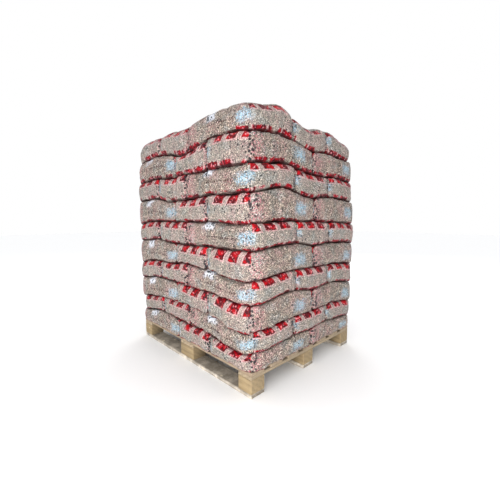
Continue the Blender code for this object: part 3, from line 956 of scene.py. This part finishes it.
def add_print(g, place, where, color):
    """Plain printed marks on the film, and painted shade in the fold where one sack lies on the next."""
    at = PrintPlace(g, place, where)
    color, pale = add_pale_marks(g, at, where, color)
    color = add_red_rows(g, at, where, color)
    color = add_dark_marks(g, at, where, color, pale)
    # Painted shade along the underside of each sack, where it lies on the next
    start, end = SEAM_SHADE_HEIGHT
    painted_seam_shade = g.product(g.ramp(at.height, -SACK_HALF.z + start, -SACK_HALF.z + end, SEAM_SHADE_COVER, 0.0),
                     g.patches(where, *SEAM_SHADE_PATCHES))
    return g.mix(painted_seam_shade, color, SEAM_SHADE)


def wood_grain(g, where, grain_axis):
    """Growth rings and fibres along the grain, from 0 for dark to 1 for pale."""
    along_x = grain_axis == "x"
    stretch_x, stretch_y = (GRAIN_ALONG, GRAIN_ACROSS) if along_x else (GRAIN_ACROSS, GRAIN_ALONG)
    lengthwise = g.mapping(where, (stretch_x, stretch_y, GRAIN_ACROSS))
    rings = g.node("ShaderNodeTexWave", {"Vector": lengthwise, **RING_VALUES}, wave_type="RINGS",
                   rings_direction="X" if along_x else "Y")
    fibre = g.noise(g.vector_math("MULTIPLY", lengthwise, FIBRE_STRETCH), *FIBRE_NOISE)
    return g.math("ADD", g.product(rings.outputs["Fac"], RING_SHARE), g.product(fibre, 1 - RING_SHARE))


def wood_material(name, grain_axis, pale, dark, grime, inner_shade_strength):
    """Sawn softwood: its grain, dirt and pale chips, and painted shade that darkens it further in from the
    pallet's sides.
    """
    g = Graph(name)
    here = g.object_place()
    info = g.node("ShaderNodeObjectInfo", {})
    where = g.vector_math("ADD", here, g.product(info.outputs["Random"], WOOD_SHIFT))
    grain = wood_grain(g, where, grain_axis)
    tone = g.math("ADD", grain, g.patches(where, *WOOD_TINT))
    color = g.colors(tone, tuple(zip(TONE_STOPS, (dark, pale))))

    facing = g.axes(g.node("ShaderNodeNewGeometry", {}).outputs["Normal"])
    color = g.mix(g.ramp(facing[2], *FACING, 0.0, grime), color, TRODDEN_TOP)
    color = g.mix(g.ramp(g.math("ABSOLUTE", facing[1]), *FACING, 0.0, grime), color, END_GRAIN)
    start, end = [step - DIRT_SPREAD * grime for step in DIRT_STEP]
    dirt = g.ramp(g.noise(where, *DIRT_NOISE), start, end, 0.0, DIRT_COVER)
    color = g.mix(g.product(dirt, grime), color, DIRT)
    color = g.mix(g.patches(where, *BLOTCHES, BLOTCH_COVER * grime), color, BLOTCH)
    chipped = g.vector_math("MULTIPLY", where, CHIP_STRETCH)
    color = g.mix(g.specks(chipped, CHIP_SIZE, CHIP_SHARE * grime, CHIP_RADIUS), color, CHIP)

    # Painted shade: darker further in from the pallet's outer sides
    from_sides = [g.math("SUBTRACT", half, g.math("ABSOLUTE", value))
                  for half, value in zip((PALLET_X / 2, PALLET_Y / 2), g.axes(here))]
    inner_shade_mask = g.ramp(g.math("MINIMUM", *from_sides), 0.0, INNER_SHADE_DEPTH, 0.0, inner_shade_strength)
    return g.paint(g.mix(inner_shade_mask, color, INNER_SHADE_COLOR), WOOD_SHINE, g.bump(grain, *WOOD_BUMP))


def dress_pallet():
    """Gives each board and block of the pallet its wood."""
    woods = {start: wood_material(*wood) for start, wood in WOODS.items()}
    for name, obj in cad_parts.items():
        for start, wood in woods.items():
            if name.startswith(start):
                obj.data.materials.clear()
                obj.data.materials.append(wood)


def build_stack():
    """Seventy sacks, each pressed from one of a few masters into its place."""
    chooser = random.Random(CHOICE_SEED)
    masters = [sack_master(seed) for seed in MASTER_SEEDS]
    material = sack_material()
    for layer in range(1, LAYERS + 1):
        for i, (place, axis) in enumerate(sack_places(layer)):
            name = f"sack_{layer:02d}_{i + 1}"
            sack = place_sack(name, layer, place, axis, chooser.choice(masters), chooser.random())
            sack.data.materials.append(material)
            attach(sack, "root")
            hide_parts(f"sack_layer_{layer:02d}")


def make_floor():
    bpy.ops.mesh.primitive_plane_add(size=FLOOR_SIZE)
    floor = bpy.context.object
    floor.name = "studio_floor"
    floor.data.materials.append(Graph("studio_floor_white").paint(FLOOR_COLOR, FLOOR_SHINE))


def add_area_light(name, place, target, size, power, color):
    light = bpy.data.lights.new(name, "AREA")
    light.size = size
    light.energy = power
    light.color = color
    obj = bpy.data.objects.new(name, light)
    obj.location = place
    obj.rotation_euler = (Vector(target) - Vector(place)).to_track_quat("-Z", "Y").to_euler()
    bpy.context.scene.collection.objects.link(obj)


def make_room():
    """A room that is brighter overhead, and plain white where the camera sees it."""
    world = bpy.data.worlds.new("studio")
    world.use_nodes = True
    nodes, links = world.node_tree.nodes, world.node_tree.links
    sky = nodes["Background"]
    direction = nodes.new("ShaderNodeTexCoord")
    height = nodes.new("ShaderNodeSeparateXYZ")
    links.new(direction.outputs["Generated"], height.inputs[0])
    strength = nodes.new("ShaderNodeMapRange")
    for i, value in enumerate((0.0, 0.0, 1.0, ROOM_LOW, ROOM_HIGH)):
        strength.inputs[i].default_value = value
    links.new(height.outputs[2], strength.inputs[0])
    links.new(strength.outputs[0], sky.inputs["Strength"])
    sky.inputs["Color"].default_value = (*ROOM_COLOR, 1.0)
    backdrop = nodes.new("ShaderNodeBackground")
    backdrop.inputs["Color"].default_value = (*WHITE, 1.0)
    seen = nodes.new("ShaderNodeLightPath")
    mix = nodes.new("ShaderNodeMixShader")
    links.new(seen.outputs["Is Camera Ray"], mix.inputs[0])
    links.new(sky.outputs[0], mix.inputs[1])
    links.new(backdrop.outputs[0], mix.inputs[2])
    links.new(mix.outputs[0], nodes["World Output"].inputs["Surface"])
    bpy.context.scene.world = world
    bpy.context.scene.view_settings.view_transform = "Standard"


def make_camera():
    data = bpy.data.cameras.new("camera")
    data.lens = CAMERA_LENS
    data.sensor_width = CAMERA_SENSOR
    camera = bpy.data.objects.new("camera", data)
    camera.location = CAMERA_PLACE
    level = math.cos(CAMERA_PITCH)
    ahead = Vector((math.cos(CAMERA_YAW) * level, math.sin(CAMERA_YAW) * level, math.sin(CAMERA_PITCH)))
    camera.rotation_euler = ahead.to_track_quat("-Z", "Y").to_euler()
    bpy.context.scene.collection.objects.link(camera)
    bpy.context.scene.camera = camera


make_camera()
build_stack()
dress_pallet()
make_floor()
make_room()
for light in LIGHTS:
    add_area_light(*light)
